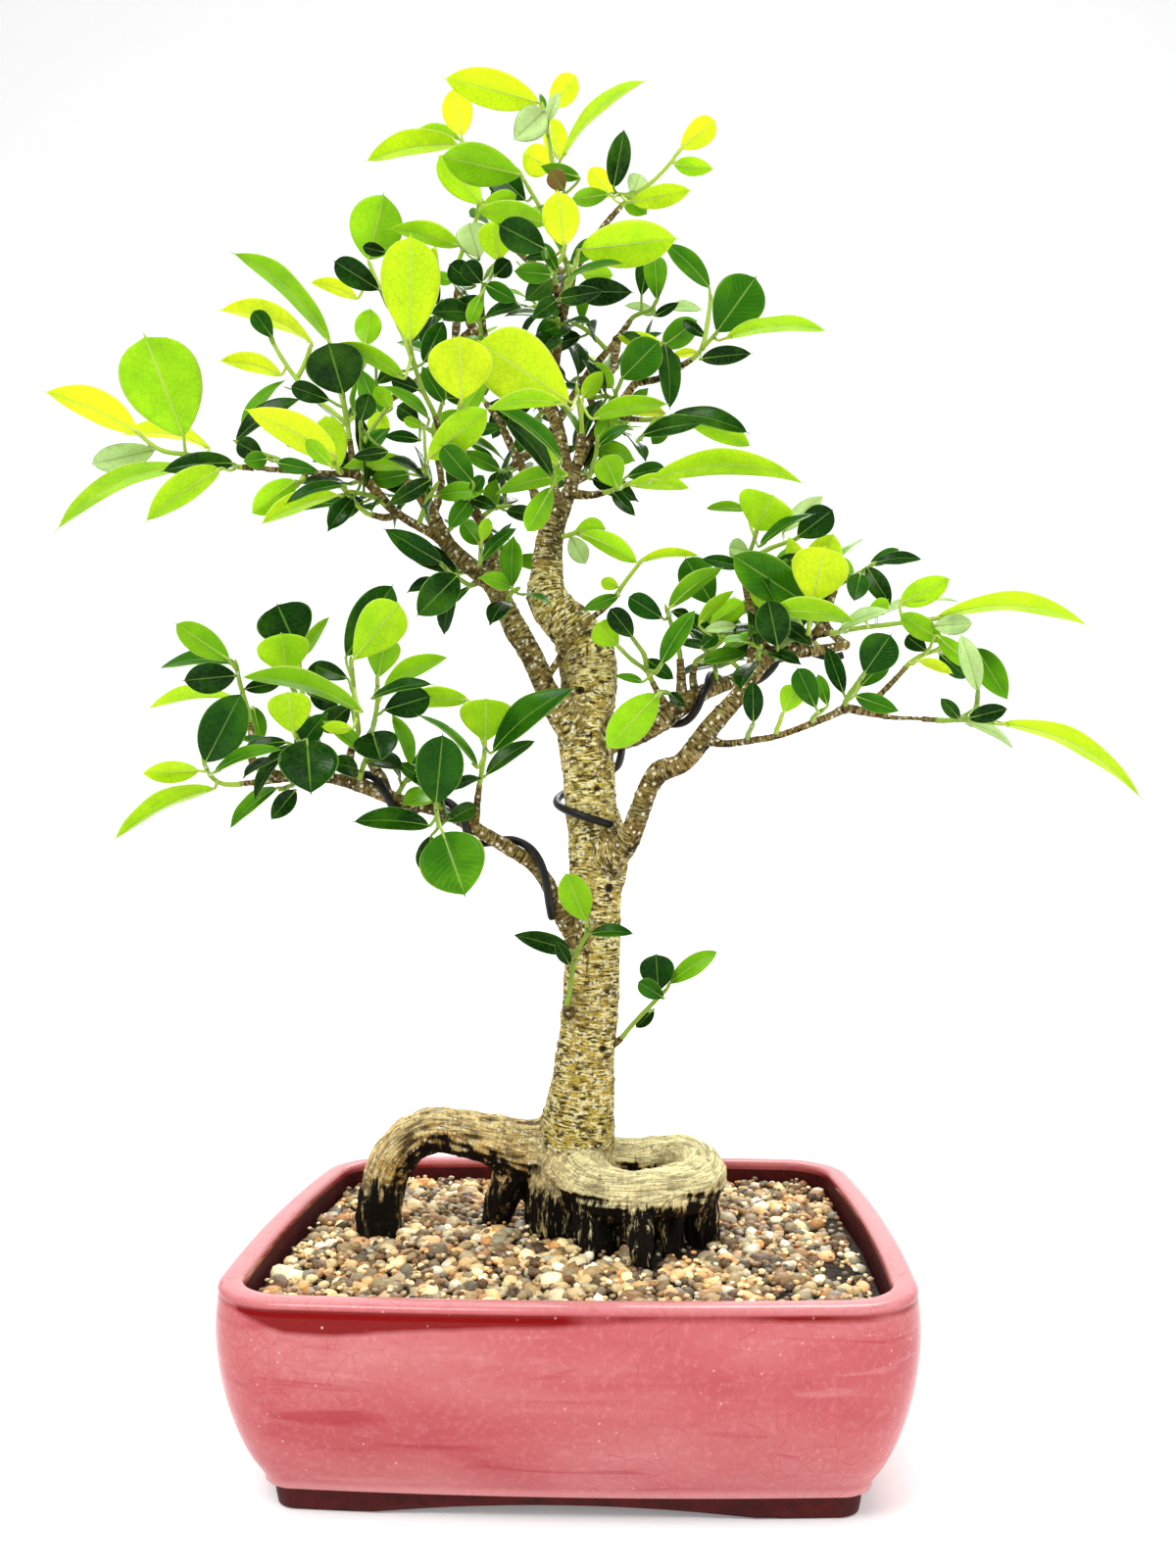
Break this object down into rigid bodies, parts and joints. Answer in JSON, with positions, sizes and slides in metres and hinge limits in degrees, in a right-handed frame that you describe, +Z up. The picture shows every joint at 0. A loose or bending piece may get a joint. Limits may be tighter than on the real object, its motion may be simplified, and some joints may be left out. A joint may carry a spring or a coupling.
{
  "type": "potted bonsai tree",
  "caption": "Ficus bonsai with an upright fluted trunk, arching surface roots, wired limbs and leafy green shoots, planted in gravel in a rectangular glazed pot.",
  "frame": {"origin": "centre of the bounding box seen from above, at the underside of the pot's foot", "axes": "+Z up along the trunk, +X along the pot's long side to the right as seen from the front, +Y away from the front"},
  "size_m": [0.4228, 0.2228, 0.597],
  "materials": {
    "glaze": "glossy pink-red glaze, bare dark foot",
    "gravel": "dull pea stones in cream, tan, ochre and grey",
    "soil": "dark crumbly bark compost",
    "mesh": "black plastic mesh",
    "bark": "tan-olive bark with pale cross stripes",
    "wire": "black satin coating",
    "leaf_lime": "satin lime leaf",
    "leaf_green": "satin mid-green leaf",
    "leaf_dark": "glossy dark green leaf"
  },
  "bodies": {
    "root": {"pot": "glaze", "soil": "soil", "gravel": "gravel", "drain_mesh_left": "mesh", "drain_mesh_right": "mesh", "tree": "bark", "training_wire_left": "wire", "training_wire_right": "wire", "shoot_far_left": "leaf_lime", "shoot_left_ring": "leaf_green", "shoot_left_low": "leaf_green", "shoot_left_tall": "leaf_green", "shoot_left_fan": "leaf_lime", "shoot_left_mid": "leaf_green", "shoot_big_oval": "leaf_green", "shoot_inner_left": "leaf_green", "shoot_heart": "leaf_lime", "shoot_fold": "leaf_green", "shoot_left_glossy": "leaf_dark", "shoot_back_twig": "leaf_green", "shoot_trio": "leaf_green", "shoot_huge": "leaf_lime", "shoot_top_left": "leaf_lime", "shoot_top_inner": "leaf_green", "shoot_crown": "leaf_lime", "shoot_crown_front": "leaf_green", "shoot_crown_right": "leaf_green", "shoot_crown_back": "leaf_lime", "shoot_right_oval": "leaf_dark", "shoot_right_glossy": "leaf_green", "shoot_right_fold": "leaf_green", "shoot_right_dark": "leaf_green", "shoot_top_thin": "leaf_green", "shoot_long_right": "leaf_green", "shoot_mid_right": "leaf_green", "shoot_wing": "leaf_green", "shoot_mid_up": "leaf_green", "shoot_mid_low": "leaf_green", "shoot_mid_centre": "leaf_green", "shoot_arch": "leaf_green", "shoot_yellow_heart": "leaf_lime", "shoot_right_upper": "leaf_green", "shoot_right_heart": "leaf_green", "shoot_right_mid": "leaf_green", "shoot_right_long": "leaf_green", "shoot_right_tip": "leaf_dark", "shoot_low_tip": "leaf_green", "shoot_low_mid": "leaf_green", "shoot_low_big": "leaf_green", "shoot_low_heart": "leaf_dark", "shoot_low_lime": "leaf_green", "shoot_low_oval": "leaf_green", "shoot_low_front": "leaf_dark", "shoot_low_fan": "leaf_green", "sprig_trunk_left": "leaf_green", "sprig_trunk_right": "leaf_green"}
  },
  "joints": []
}
